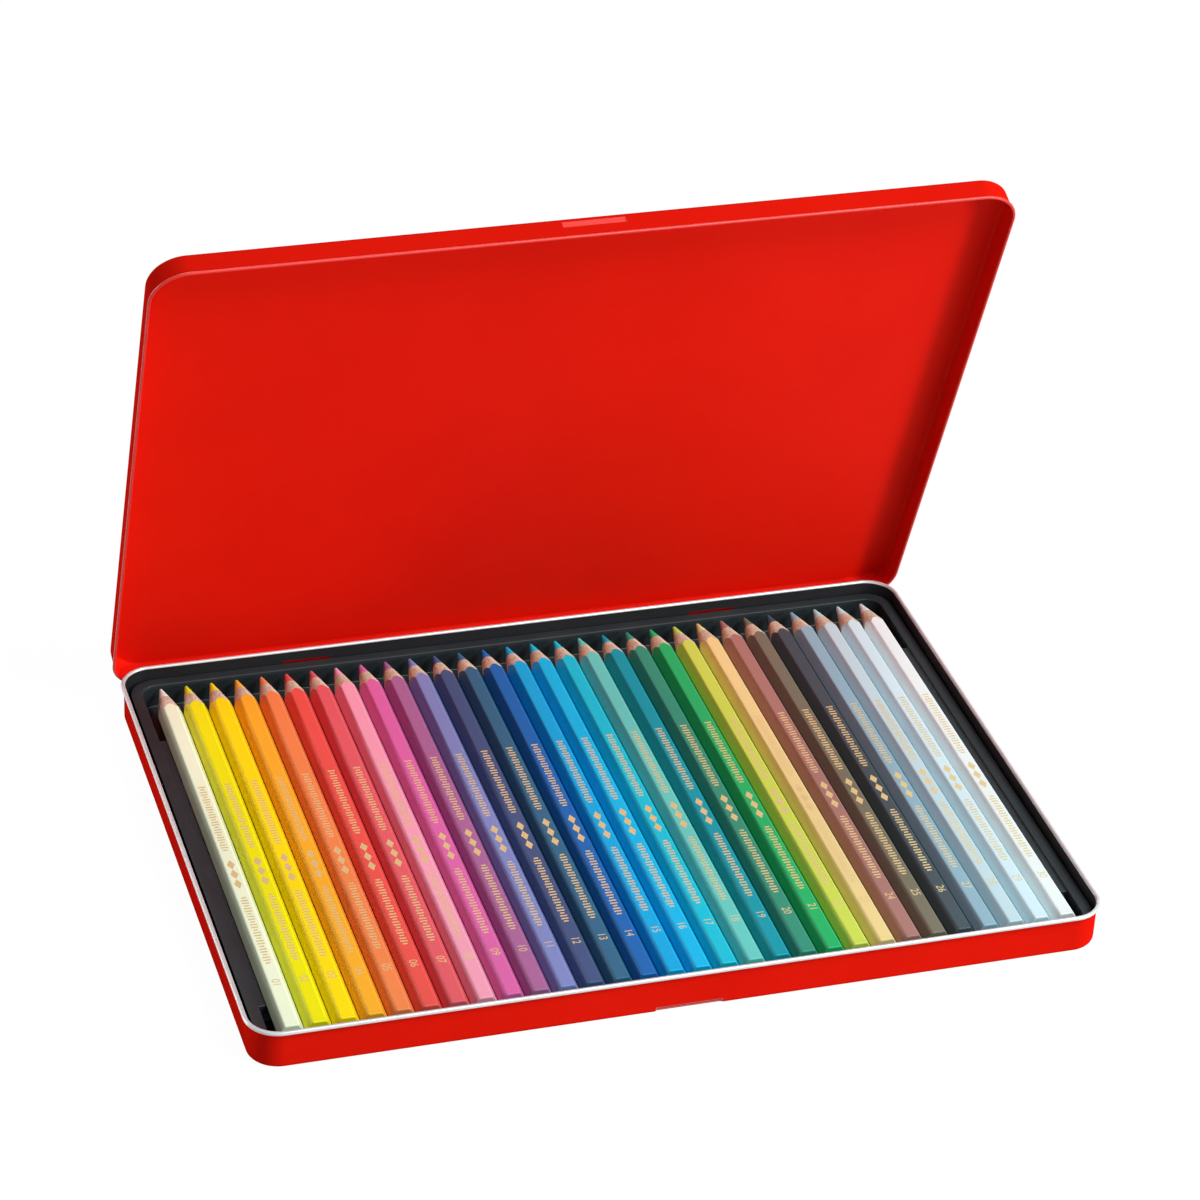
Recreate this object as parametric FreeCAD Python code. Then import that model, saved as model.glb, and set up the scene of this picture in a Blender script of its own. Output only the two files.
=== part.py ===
import FreeCAD, Part
import math
import os

V = FreeCAD.Vector

# Sheet thickness and clearances, in millimetres
TIN = 0.35
PLASTIC = 0.5
LID_GAP = 0.6
LID_SEAT = 0.05
TRAY_GAP = 0.4
TRAY_SIDE_GAP = 1.25
PENCIL_SEAT = 0.02
RIDGE_GAP = 0.3
SHELF_GAP = 0.25
PIN_FIT = 0.03
KNUCKLE_FIT = 0.08
EAR_GAP = 0.4
SNAP_PLAY = 0.05

# How far a cutting block passes the skin that it cuts
CUT_OVER = 1.0

# Pencils
PENCIL_NAMES = [
    "ivory", "lemon_yellow", "golden_yellow", "light_orange", "orange",
    "scarlet", "carmine", "pink", "magenta", "purple",
    "lilac", "night_blue", "indigo", "ultramarine", "cerulean",
    "light_blue", "turquoise", "sea_green", "peacock", "dark_green",
    "green", "yellow_green", "ochre", "russet", "umber",
    "black", "slate_grey", "light_grey", "pale_blue", "white",
]
FLATS = 6.7
PENCIL_CORNER = 0.9
PENCIL_GAP = 0.36
PENCIL_LEN = 175.0
PENCIL_END_EDGE = 0.35
CONE_SLOPE = 0.223
TIP_R = 0.5
LEAD_R = 1.9
END_CAP = 0.8

# Tray: a black formed sheet whose well takes the row of pencils
BED_Z = 4.4
SIDE_ROOM = 2.4
TIP_ROOM = 1.9
REAR_ROOM = 1.0
TIP_OVERHANG = 9.0
REAR_OVERHANG = 12.3
WELL_CORNER = 4.7
RIDGE_LEAN = 0.9
RIDGE_H = 1.3
LEDGE_Z = 8.4
LEDGE_SIDE = 3.4
LEDGE_BACK = 3.4
LEDGE_FRONT = 2.1
SHELF_DROP = 0.9
SHELF_BACK_STEP = 18.0
SHELF_FRONT_STEP = 2.5

# The loose tray lies this far to the right in the tin
TRAY_SHIFT = 0.6

# Base tin: a drawn pan with an outward curl round its rim
HEAD_ROOM = 1.58
CURL_D = 1.3
BASE_CORNER = 9.9
FLOOR_EDGE = 1.2

# Thumb recess pressed into the foot of the front wall
THUMB_LEN = 19.8
THUMB_H = 1.9
THUMB_DEEP = 1.3

# Lid: a shallower pan with its own outward curl
LID_DEEP = 8.0
LIP_D = 0.9
LID_EDGE = 1.4
LID_OPEN = 68.86

# Snap bar pressed into the lid's front skirt
SNAP_LEN = 18.6
SNAP_H = 1.9
SNAP_DEEP = 0.35

# Two hinges on the rear wall, placed from the lid's mouth
HINGE_X = 65.7
HINGE_OUT = 1.05
HINGE_UP = 1.75
SLOT_LEN = 14.9
SLOT_BELOW = 1.05
SLOT_ABOVE = 2.1
EAR_T = 0.4
EAR_R = 1.0
PIN_R = 0.45
PIN_HEAD_R = 0.7
PIN_HEAD_T = 0.4
KNUCKLE_WALL = 0.32
WINDOW_LEN = 18.0
WINDOW_OVER = 1.33

# The row of pencils, flat side up, corners side by side
HALF_SIDE = FLATS / math.sqrt(3) / 2
HALF_CORNERS = 2 * HALF_SIDE - PENCIL_CORNER * (2 / math.sqrt(3) - 1)
PITCH = 2 * HALF_CORNERS + PENCIL_GAP
COUNT = len(PENCIL_NAMES)
FIRST_X = -PITCH * (COUNT - 1) / 2
PENCIL_Z = BED_Z + PENCIL_SEAT + FLATS / 2

# The tin goes round the tray, and the tray round the pencils
WELL_X = -FIRST_X + HALF_CORNERS + SIDE_ROOM
TRAY_X = WELL_X + LEDGE_SIDE
TRAY_Y = (LEDGE_FRONT + REAR_ROOM + PENCIL_LEN + TIP_ROOM + LEDGE_BACK) / 2
WALL_IN_X = TRAY_X + TRAY_SIDE_GAP
WALL_IN_Y = TRAY_Y + TRAY_GAP
WALL_X = WALL_IN_X + TIN
WALL_Y = WALL_IN_Y + TIN
RIM_X = WALL_IN_X + CURL_D
RIM_Y = WALL_IN_Y + CURL_D
RIM_Z = BED_Z + PENCIL_SEAT + FLATS + HEAD_ROOM
WALL_CORNER = BASE_CORNER - CURL_D + TIN
CURL_Z = RIM_Z - CURL_D / 2

# Places along the well, from the points to the rear ends
WELL_BACK = TRAY_Y - LEDGE_BACK
TIP_Y = WELL_BACK - TIP_ROOM
REAR_Y = TIP_Y - PENCIL_LEN
WELL_FRONT = REAR_Y - REAR_ROOM
BED_BACK = TIP_Y - TIP_OVERHANG
BED_FRONT = REAR_Y + REAR_OVERHANG
SHELF_BACK = BED_BACK - SHELF_BACK_STEP
SHELF_FRONT = BED_FRONT + SHELF_FRONT_STEP
SHELF_IN = -FIRST_X + HALF_CORNERS + SHELF_GAP
SHELF_Z = LEDGE_Z - SHELF_DROP
RIDGE_FOOT = PITCH / 2 - HALF_SIDE - RIDGE_GAP
RIDGE_TOP = RIDGE_FOOT - RIDGE_LEAN

# The lid closes over the rim and swings on the hinge line
LID_IN_X = RIM_X + LID_GAP
LID_IN_Y = RIM_Y + LID_GAP
LID_X = LID_IN_X + TIN
LID_Y = LID_IN_Y + TIN
LID_CORNER = BASE_CORNER + LID_GAP + TIN
LID_TOP = RIM_Z + LID_SEAT + TIN
LID_MOUTH = LID_TOP - LID_DEEP
SNAP_Z = RIM_Z - CURL_D - SNAP_PLAY - SNAP_H / 2
HINGE_Y = RIM_Y + HINGE_OUT
HINGE_Z = LID_MOUTH + HINGE_UP
KNUCKLE_R = PIN_R + KNUCKLE_FIT + KNUCKLE_WALL
TAB_LEN = SLOT_LEN - 2 * EAR_GAP


def box(x0, x1, y0, y1, z0, z1):
    return Part.makeBox(x1 - x0, y1 - y0, z1 - z0, V(x0, y0, z0))


def rounded_face(x0, x1, y0, y1, r, z):
    """Flat face with four round corners."""
    k = r * (1 - math.sqrt(0.5))
    e = [
        Part.makeLine(V(x0 + r, y0, z), V(x1 - r, y0, z)),
        Part.Arc(V(x1 - r, y0, z), V(x1 - k, y0 + k, z), V(x1, y0 + r, z)).toShape(),
        Part.makeLine(V(x1, y0 + r, z), V(x1, y1 - r, z)),
        Part.Arc(V(x1, y1 - r, z), V(x1 - k, y1 - k, z), V(x1 - r, y1, z)).toShape(),
        Part.makeLine(V(x1 - r, y1, z), V(x0 + r, y1, z)),
        Part.Arc(V(x0 + r, y1, z), V(x0 + k, y1 - k, z), V(x0, y1 - r, z)).toShape(),
        Part.makeLine(V(x0, y1 - r, z), V(x0, y0 + r, z)),
        Part.Arc(V(x0, y0 + r, z), V(x0 + k, y0 + k, z), V(x0 + r, y0, z)).toShape(),
    ]
    return Part.Face(Part.Wire(e))


def slab(hx, hy, r, z0, z1):
    """Upright block with round corners, centred on the origin."""
    return rounded_face(-hx, hx, -hy, hy, r, z0).extrude(V(0, 0, z1 - z0))


def edges_at(shape, z):
    """The edges that lie wholly at one height."""
    found = []
    for e in shape.Edges:
        b = e.BoundBox
        if abs(b.ZMin - z) < 1e-6 and abs(b.ZMax - z) < 1e-6:
            found.append(e)
    return found


def pan(hx, hy, r, z0, z1, edge, closed_low):
    """Thin drawn pan: one closed side with a rounded edge, open on the other."""
    outer = slab(hx, hy, r, z0, z1)
    inner_edge = edge - TIN
    if closed_low:
        outer = outer.makeFillet(edge, edges_at(outer, z0))
        inner = slab(hx - TIN, hy - TIN, r - TIN, z0 + TIN, z1 + CUT_OVER)
        inner = inner.makeFillet(inner_edge, edges_at(inner, z0 + TIN))
    else:
        outer = outer.makeFillet(edge, edges_at(outer, z1))
        inner = slab(hx - TIN, hy - TIN, r - TIN, z0 - CUT_OVER, z1 - TIN)
        inner = inner.makeFillet(inner_edge, edges_at(inner, z1 - TIN))
    return outer.cut(inner)


def curl(hx, hy, r, z, radius):
    """Round bead that runs once round a pan's mouth, on the given centre line."""
    path = rounded_face(-hx, hx, -hy, hy, r, z).OuterWire
    start = V(-hx + r, -hy, z)
    ring = Part.Wire(Part.makeCircle(radius, start, V(1, 0, 0)))
    return path.makePipeShell([ring], True, False)


def rod(x0, x1, y, z, r):
    return Part.makeCylinder(r, x1 - x0, V(x0, y, z), V(1, 0, 0))


def prism_x(points, x0, x1):
    """Block along X from a closed outline of (y, z) points."""
    p = [V(x0, y, z) for y, z in points]
    return Part.Face(Part.makePolygon(p + [p[0]])).extrude(V(x1 - x0, 0, 0))


def hinge_ear(x0):
    """One ear folded out of the rear wall beside its slot, drilled for the pin."""
    x1 = x0 + EAR_T
    y0 = WALL_IN_Y + TIN / 2
    arm = box(x0, x1, y0, HINGE_Y, HINGE_Z - EAR_R, HINGE_Z + EAR_R)
    arm = arm.fuse(rod(x0, x1, HINGE_Y, HINGE_Z, EAR_R))
    return arm.cut(rod(x0 - CUT_OVER, x1 + CUT_OVER, HINGE_Y, HINGE_Z, PIN_R + PIN_FIT))


def make_base():
    tin = pan(WALL_X, WALL_Y, WALL_CORNER, 0, CURL_Z, FLOOR_EDGE, True)
    half = CURL_D / 2
    bead = curl(RIM_X - half, RIM_Y - half, BASE_CORNER - half, CURL_Z, half)
    # a sloping dent whose sheet keeps its thickness
    f = -WALL_Y
    out = f - CUT_OVER
    deep = f + THUMB_DEEP
    dent = [(out, THUMB_H), (f, THUMB_H), (deep, 0), (deep, -CUT_OVER), (out, -CUT_OVER)]
    backing = [(f, THUMB_H + TIN), (deep + TIN, TIN), (deep + TIN, 0), (f, 0)]
    h = THUMB_LEN / 2
    tin = tin.fuse(prism_x(backing, -h - TIN, h + TIN))
    tin = tin.cut(prism_x(dent, -h, h))
    low = HINGE_Z - SLOT_BELOW
    top = HINGE_Z + SLOT_ABOVE
    for x in (-HINGE_X, HINGE_X):
        a = x - SLOT_LEN / 2
        b = x + SLOT_LEN / 2
        tin = tin.cut(box(a, b, WALL_IN_Y - CUT_OVER, WALL_Y + CUT_OVER, low, top))
        tin = tin.fuse([hinge_ear(a - EAR_T), hinge_ear(b)])
    return tin.fuse(bead).removeSplitter()


def make_pins():
    pins = []
    for x in (-HINGE_X, HINGE_X):
        a = x - SLOT_LEN / 2 - EAR_T
        b = x + SLOT_LEN / 2 + EAR_T
        pin = rod(a, b, HINGE_Y, HINGE_Z, PIN_R)
        heads = [
            rod(a - PIN_HEAD_T, a, HINGE_Y, HINGE_Z, PIN_HEAD_R),
            rod(b, b + PIN_HEAD_T, HINGE_Y, HINGE_Z, PIN_HEAD_R),
        ]
        pins.append(pin.fuse(heads).removeSplitter())
    return Part.makeCompound(pins)


def make_lid():
    """The lid is drawn closed, then swung open about the hinge pins."""
    half = LIP_D / 2
    lip_z = LID_MOUTH + half
    lid = pan(LID_X, LID_Y, LID_CORNER, lip_z, LID_TOP, LID_EDGE, False)
    lid = lid.fuse(curl(LID_IN_X + half, LID_IN_Y + half, LID_CORNER - TIN + half, lip_z, half))
    # pressed bar that catches under the base's curl
    h = SNAP_LEN / 2
    low = SNAP_Z - SNAP_H / 2
    top = SNAP_Z + SNAP_H / 2
    inner = -LID_IN_Y + SNAP_DEEP
    bump = box(-h, h, -LID_Y, inner, low, top)
    groove = box(-h + TIN, h - TIN, -LID_Y - CUT_OVER, inner - TIN, low + TIN, top - TIN)
    lid = lid.fuse(bump).cut(groove)
    # a window at each hinge leaves one tab, rolled round its pin
    w = WINDOW_LEN / 2
    t = TAB_LEN / 2
    top = HINGE_Z + WINDOW_OVER
    y0 = LID_IN_Y - CUT_OVER
    y1 = LID_IN_Y + LIP_D + CUT_OVER
    for x in (-HINGE_X, HINGE_X):
        lid = lid.cut(box(x - w, x + w, y0, y1, LID_MOUTH - CUT_OVER, top))
        tab = box(x - t, x + t, LID_IN_Y, LID_Y, HINGE_Z, top + TIN)
        roll = rod(x - t, x + t, HINGE_Y, HINGE_Z, KNUCKLE_R)
        lid = lid.fuse([tab, roll])
        eye = rod(x - t - CUT_OVER, x + t + CUT_OVER, HINGE_Y, HINGE_Z, PIN_R + KNUCKLE_FIT)
        lid = lid.cut(eye)
    lid = lid.removeSplitter()
    lid.rotate(V(0, HINGE_Y, HINGE_Z), V(1, 0, 0), -LID_OPEN)
    return lid


def bed_outline():
    """Closed (x, z) outline of the ridged bed sheet, one flat per pencil."""
    top = [(-WELL_X, BED_Z)]
    for i in range(COUNT - 1):
        c = FIRST_X + PITCH * (i + 0.5)
        top += [
            (c - RIDGE_FOOT, BED_Z),
            (c - RIDGE_TOP, BED_Z + RIDGE_H),
            (c + RIDGE_TOP, BED_Z + RIDGE_H),
            (c + RIDGE_FOOT, BED_Z),
        ]
    top.append((WELL_X, BED_Z))
    under = [(x, z - PLASTIC) for x, z in reversed(top)]
    return top + under


def make_tray():
    p = PLASTIC
    floor = TIN
    flange = slab(TRAY_X, TRAY_Y, WALL_CORNER - TIN - TRAY_GAP, LEDGE_Z - p, LEDGE_Z)
    well = rounded_face(-WELL_X, WELL_X, WELL_FRONT, WELL_BACK, WELL_CORNER, floor)
    around = rounded_face(
        -WELL_X - p, WELL_X + p, WELL_FRONT - p, WELL_BACK + p, WELL_CORNER + p, floor
    )
    up = V(0, 0, LEDGE_Z - floor)
    over = V(0, 0, LEDGE_Z - floor + CUT_OVER)
    tray = flange.fuse(around.extrude(up)).cut(well.extrude(over))
    # the bed spans the well between two floors
    pts = [V(x, BED_FRONT, z) for x, z in bed_outline()]
    bed = Part.Face(Part.makePolygon(pts + [pts[0]])).extrude(V(0, BED_BACK - BED_FRONT, 0))
    span = box(-WELL_X, WELL_X, BED_FRONT + p, BED_BACK - p, floor, floor + p)
    troughs = well.extrude(V(0, 0, p)).cut(span)
    steps = [
        box(-WELL_X, WELL_X, BED_BACK - p, BED_BACK, floor, BED_Z),
        box(-WELL_X, WELL_X, BED_FRONT, BED_FRONT + p, floor, BED_Z),
    ]
    tray = tray.fuse([bed, troughs] + steps)
    # a low shelf beside each outer pencil, open underneath
    for side in (-1, 1):
        a, b = sorted((side * SHELF_IN, side * WELL_X))
        tray = tray.fuse(box(a, b, SHELF_FRONT, SHELF_BACK, BED_Z - p, SHELF_Z))
        a, b = sorted((side * (SHELF_IN + p), side * WELL_X))
        low = BED_Z - p - CUT_OVER
        tray = tray.cut(box(a, b, SHELF_FRONT + p, SHELF_BACK - p, low, SHELF_Z - p))
    tray = tray.removeSplitter()
    tray.translate(V(TRAY_SHIFT, 0, 0))
    return tray


def hexagon_bar():
    """Six-sided bar with rounded corners along Y, flat side up."""
    r = 2 * HALF_SIDE
    pts = []
    for i in range(6):
        a = math.radians(60 * i)
        pts.append(V(r * math.cos(a), REAR_Y, r * math.sin(a)))
    bar = Part.Face(Part.makePolygon(pts + [pts[0]])).extrude(V(0, PENCIL_LEN, 0))
    long_edges = [e for e in bar.Edges if e.BoundBox.YLength > PENCIL_LEN / 2]
    bar = bar.makeFillet(PENCIL_CORNER, long_edges)
    rim = [e for e in bar.Edges if abs(e.BoundBox.YMax - REAR_Y) < 1e-6]
    return bar.makeFillet(PENCIL_END_EDGE, rim)


def make_pencil():
    """Lacquered wooden case with a bore, and the lead that fills it."""
    wide = FLATS
    start = TIP_Y - (wide - TIP_R) / CONE_SLOPE
    along = V(0, 1, 0)
    cone = Part.makeCone(wide, TIP_R, TIP_Y - start, V(0, start, 0), along)
    rear = REAR_Y - CUT_OVER
    sharp = cone.fuse(Part.makeCylinder(wide, start - rear, V(0, rear, 0), along))
    bore_y = REAR_Y + END_CAP
    core = Part.makeCylinder(LEAD_R, TIP_Y - bore_y, V(0, bore_y, 0), along)
    case = hexagon_bar().common(sharp).cut(core)
    lead = core.common(sharp)
    return [case.removeSplitter(), lead.removeSplitter()]


os.makedirs("parts", exist_ok=True)
make_base().exportStep("parts/base_tin.step")
make_lid().exportStep("parts/lid.step")
make_tray().exportStep("parts/pencil_tray.step")
make_pins().exportStep("parts/hinge_pins.step")
solids = make_pencil()
for i, name in enumerate(PENCIL_NAMES):
    at = V(TRAY_SHIFT + FIRST_X + PITCH * i, 0, PENCIL_Z)
    pencil = Part.makeCompound([s.translated(at) for s in solids])
    pencil.exportStep("parts/pencil_%02d_%s.step" % (i + 1, name))
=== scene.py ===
import math

import bmesh
import bpy
from mathutils import Matrix, Vector


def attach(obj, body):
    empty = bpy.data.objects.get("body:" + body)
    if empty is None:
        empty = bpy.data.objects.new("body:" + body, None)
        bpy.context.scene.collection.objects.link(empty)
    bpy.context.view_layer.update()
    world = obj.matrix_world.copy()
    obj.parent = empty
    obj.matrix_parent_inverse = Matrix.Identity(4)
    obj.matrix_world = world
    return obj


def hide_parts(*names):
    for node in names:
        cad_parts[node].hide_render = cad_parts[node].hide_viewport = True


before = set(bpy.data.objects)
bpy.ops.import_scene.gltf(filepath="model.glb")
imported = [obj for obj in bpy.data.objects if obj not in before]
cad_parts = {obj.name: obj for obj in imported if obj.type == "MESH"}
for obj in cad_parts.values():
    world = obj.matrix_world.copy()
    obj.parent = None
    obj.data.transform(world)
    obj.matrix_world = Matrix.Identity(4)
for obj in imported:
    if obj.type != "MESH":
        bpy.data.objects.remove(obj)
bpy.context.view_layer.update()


# Base tin: a shallow pan drawn from tinplate, red lacquer outside and black
# inside. The rim is rolled outward into a bare bright curl, two hinge slots are
# pierced in the rear wall and a thumb recess is pressed into the front foot.
MM = 0.001
TIN = 0.35
RIM_X = 125.44
RIM_Y = 93.4
RIM_Z = 12.7
CURL_R = 0.65
CURL_Z = RIM_Z - CURL_R
WALL_IN_X = RIM_X - 2 * CURL_R
WALL_IN_Y = RIM_Y - 2 * CURL_R
WALL_CORNER = 8.95
FLOOR_EDGE = 1.2
THUMB_HALF = 9.9
THUMB_H = 1.9
THUMB_DEEP = 1.3
THUMB_SIDE = 0.6
HINGE_X = 65.7
HINGE_OUT = 1.05
HINGE_Y = RIM_Y + HINGE_OUT
HINGE_Z = 6.85
SLOT_HALF = 7.45
SLOT_BELOW = 1.05
SLOT_ABOVE = 2.1
SLOT_LOW = HINGE_Z - SLOT_BELOW
SLOT_TOP = HINGE_Z + SLOT_ABOVE
EAR_R = 1.0
EAR_T = 0.4
SHARP_ANGLE = math.radians(32)
NEAR = 1e-4
ROUND_STEPS = 14
EDGE_STEPS = 6
CURL_STEPS = 28
PIN_STEPS = 24
TIN_RIPPLE = (260.0, 0.04)


def linear(hex_colour):
    """A written sRGB colour as the linear colour that a shader takes."""
    parts = [int(hex_colour[k:k + 2], 16) / 255 for k in (0, 2, 4)]
    return [c / 12.92 if c <= 0.04045 else ((c + 0.055) / 1.055) ** 2.4 for c in parts] + [1.0]


def put(tree, kind, inputs=None, **settings):
    """Adds a node; each input is a plain value or another node's output."""
    node = tree.nodes.new(kind)
    for key, value in settings.items():
        setattr(node, key, value)
    for key, value in (inputs or {}).items():
        if isinstance(value, bpy.types.NodeSocket):
            tree.links.new(value, node.inputs[key])
        else:
            node.inputs[key].default_value = value
    return node


def between(tree, factor, first, second):
    """Two colours mixed by a factor."""
    mix = put(tree, "ShaderNodeMix", {0: factor, 6: first, 7: second}, data_type="RGBA")
    return mix.outputs[2]


def spread(tree, value, low, high, to_low, to_high):
    """A value taken from one range to another, held at both ends."""
    node = put(tree, "ShaderNodeMapRange", {0: value, 1: low, 2: high, 3: to_low, 4: to_high})
    return node.outputs[0]


def here(tree):
    """Where on its piece a point lies."""
    return put(tree, "ShaderNodeTexCoord").outputs["Object"]


def noise(tree, place, size, detail, roughness=0.5):
    """A cloudy value over the surface."""
    inputs = {"Vector": place, "Scale": size, "Detail": detail, "Roughness": roughness}
    return put(tree, "ShaderNodeTexNoise", inputs).outputs[0]


def relief(tree, height, strength, depth):
    """A surface normal raised by a height."""
    inputs = {"Height": height, "Strength": strength, "Distance": depth}
    return put(tree, "ShaderNodeBump", inputs).outputs[0]


def new_material(name):
    """An empty material with its surface shader; returns the material, its tree and the shader."""
    material = bpy.data.materials.new(name)
    material.use_nodes = True
    tree = material.node_tree
    return material, tree, tree.nodes["Principled BSDF"]


def lacquer_skin_group():
    """Stoved lacquer: soft ripples from the coat and faint uneven gloss."""
    tree = bpy.data.node_groups.new("lacquer_skin", "ShaderNodeTree")
    for name, value in (("Ripple Size", 300.0), ("Ripple", 0.1), ("Gloss Low", 0.3), ("Gloss High", 0.4)):
        socket = tree.interface.new_socket(name=name, in_out="INPUT", socket_type="NodeSocketFloat")
        socket.default_value = value
    tree.interface.new_socket(name="Roughness", in_out="OUTPUT", socket_type="NodeSocketFloat")
    tree.interface.new_socket(name="Normal", in_out="OUTPUT", socket_type="NodeSocketVector")
    given = put(tree, "NodeGroupInput").outputs
    place = here(tree)
    ripple = noise(tree, place, given["Ripple Size"], 2.0)
    cloud = noise(tree, place, 45.0, 4.0, 0.6)
    gloss = spread(tree, cloud, 0.3, 0.7, given["Gloss Low"], given["Gloss High"])
    normal = relief(tree, ripple, given["Ripple"], 0.0003)
    put(tree, "NodeGroupOutput", {"Roughness": gloss, "Normal": normal})
    return tree


LACQUER_SKIN = lacquer_skin_group()


def lacquer(name, colour, deeper, gloss, ripple, shine):
    """Opaque lacquer with a slight drift of tone over the coat."""
    material, tree, shader = new_material(name)
    skin = put(tree, "ShaderNodeGroup", node_tree=LACQUER_SKIN)
    skin.inputs["Ripple Size"].default_value = ripple[0]
    skin.inputs["Ripple"].default_value = ripple[1]
    skin.inputs["Gloss Low"].default_value = gloss[0]
    skin.inputs["Gloss High"].default_value = gloss[1]
    drift = spread(tree, noise(tree, here(tree), 22.0, 3.0), 0.35, 0.7, 0.0, 1.0)
    tree.links.new(between(tree, drift, linear(colour), linear(deeper)), shader.inputs["Base Color"])
    tree.links.new(skin.outputs["Roughness"], shader.inputs["Roughness"])
    tree.links.new(skin.outputs["Normal"], shader.inputs["Normal"])
    shader.inputs["Specular IOR Level"].default_value = shine
    return material


# One red lacquer on all the tin: this outside red is painted darker, as painted shade, and the lid's
# inside red further down is painted lighter, as painted light.
RED = lacquer("red_lacquer", "c8160a", "c31409", gloss=(0.42, 0.5), ripple=TIN_RIPPLE, shine=0.0)
# Shinier red for the lid's lip, the snap ramp and the thumb recess; its colour is also painted lighter, a
# painted highlight.
RED_EDGE_PAINTED_HIGHLIGHT = lacquer(
    "red_lacquer_on_edges_painted_highlight", "d2241a", "cc2018", gloss=(0.36, 0.44), ripple=TIN_RIPPLE, shine=0.5,
)
BLACK = lacquer("black_lacquer", "202123", "1a1b1d", gloss=(0.36, 0.46), ripple=(260.0, 0.05), shine=0.3)


def bare_tin():
    """Bright tinplate at the curl, drawn smooth, with a faint bloom."""
    material, tree, shader = new_material("bright_tinplate")
    bloom = noise(tree, here(tree), 160.0, 5.0, 0.65)
    tone = spread(tree, bloom, 0.3, 0.7, 0.0, 1.0)
    tree.links.new(between(tree, tone, linear("cfd3d3"), linear("bcc0c2")), shader.inputs["Base Color"])
    tree.links.new(spread(tree, bloom, 0.3, 0.7, 0.26, 0.4), shader.inputs["Roughness"])
    shader.inputs["Metallic"].default_value = 0.3
    return material


BRIGHT = bare_tin()


def rounded_plate(bm, half_x, half_y, corner, z, middle_y=0.0):
    """One flat face with four round corners; returns its edges."""
    made = bmesh.ops.create_grid(bm, x_segments=1, y_segments=1, size=1)["verts"]
    bmesh.ops.scale(bm, vec=(half_x, half_y, 1), verts=made)
    bmesh.ops.translate(bm, vec=(0, middle_y, z), verts=made)
    done = bmesh.ops.bevel(
        bm, geom=made, offset=corner, offset_type="OFFSET", segments=ROUND_STEPS,
        profile=0.5, affect="VERTICES", material=-1,
    )
    face = next(f for v in done["verts"] for f in v.link_faces)
    return list(face.edges)


def end_verts(made):
    """The far corners of what an extrusion made."""
    return [g for g in made if isinstance(g, bmesh.types.BMVert)]


def draw_on(bm, rim, out, up, finish):
    """Draws the sheet on from an open rim: out square to the rim, up along Z."""
    edges = set(rim)
    middle = sum((v.co for e in rim for v in e.verts), Vector()) / (2 * len(rim))
    step = {}
    for vert in {v for e in rim for v in e.verts}:
        sides = []
        for edge in vert.link_edges:
            if edge in edges:
                far = edge.other_vert(vert).co
                run = far - vert.co
                side = Vector((run.y, -run.x, 0)).normalized()
                sides.append(side if side.dot((far + vert.co) / 2 - middle) > 0 else -side)
        a, b = sides
        step[vert] = (a + b) / (1 + a.dot(b)) * out + Vector((0, 0, up))
    made = bmesh.ops.extrude_edge_only(bm, edges=rim)["geom"]
    fresh_with_painted_light = set(end_verts(made))
    for vert in fresh_with_painted_light:
        root = next(e.other_vert(vert) for e in vert.link_edges if e.other_vert(vert) in step)
        vert.co += step[root]
    for g in made:
        if isinstance(g, bmesh.types.BMFace):
            g.material_index = finish
    return [g for g in made if isinstance(g, bmesh.types.BMEdge) and fresh_with_painted_light.issuperset(g.verts)]


def draw_section(bm, rim, start, section, finish):
    """Follows a section of (out, z) points from one rim to the next."""
    for out, z in section:
        rim = draw_on(bm, rim, out - start[0], z - start[1], finish)
        start = (out, z)
    return rim, start


def bend(out, z, radius, first, last, steps):
    """Points of a bend in a section, angles in degrees from straight out."""
    points = []
    for k in range(1, steps + 1):
        a = math.radians(first + (last - first) * k / steps)
        points.append((out + radius * math.cos(a), z + radius * math.sin(a)))
    return points


def faces_in(bm, low, high):
    """The faces that lie wholly inside a box."""
    def inside(v):
        return all(a - NEAR <= c <= b + NEAR for a, c, b in zip(low, v.co, high))
    return [f for f in bm.faces if all(inside(v) for v in f.verts)]


def split_at(bm, faces, point, normal):
    """Splits some faces along one flat cut."""
    geom = faces + list({e for f in faces for e in f.edges}) + list({v for f in faces for v in f.verts})
    bmesh.ops.bisect_plane(bm, geom=geom, dist=NEAR, plane_co=point, plane_no=normal)


def finish_piece(bm, name, materials, body):
    """Turns a drawing in millimetres into a finished piece that rides on a body."""
    bmesh.ops.recalc_face_normals(bm, faces=bm.faces)
    bmesh.ops.scale(bm, vec=(MM, MM, MM), verts=bm.verts)
    for face in bm.faces:
        face.smooth = True
    for edge in bm.edges:
        if len(edge.link_faces) == 2:
            a, b = edge.link_faces
            edge.smooth = edge.calc_face_angle() < SHARP_ANGLE and a.material_index == b.material_index
    mesh = bpy.data.meshes.new(name)
    bm.to_mesh(mesh)
    bm.free()
    for material in materials:
        mesh.materials.append(material)
    piece = bpy.data.objects.new(name, mesh)
    bpy.context.scene.collection.objects.link(piece)
    even = piece.modifiers.new("even_shading", "WEIGHTED_NORMAL")
    even.keep_sharp = True
    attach(piece, body)
    return piece


def hinge_ear(bm, x):
    """A tab folded out of the rear wall beside a slot, round at its end."""
    made = bmesh.ops.create_circle(bm, cap_ends=True, segments=PIN_STEPS, radius=EAR_R)["verts"]
    bmesh.ops.rotate(bm, cent=(0, 0, 0), matrix=Matrix.Rotation(math.radians(90), 3, "Y"), verts=made)
    for vert in made:
        if vert.co.y < -NEAR:
            vert.co.y = WALL_IN_Y + TIN / 2 - HINGE_Y
    bmesh.ops.translate(bm, vec=(x, HINGE_Y, HINGE_Z), verts=made)
    face = made[0].link_faces[0]
    grown = bmesh.ops.extrude_face_region(bm, geom=[face])["geom"]
    bmesh.ops.translate(bm, vec=(EAR_T, 0, 0), verts=end_verts(grown))


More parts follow.
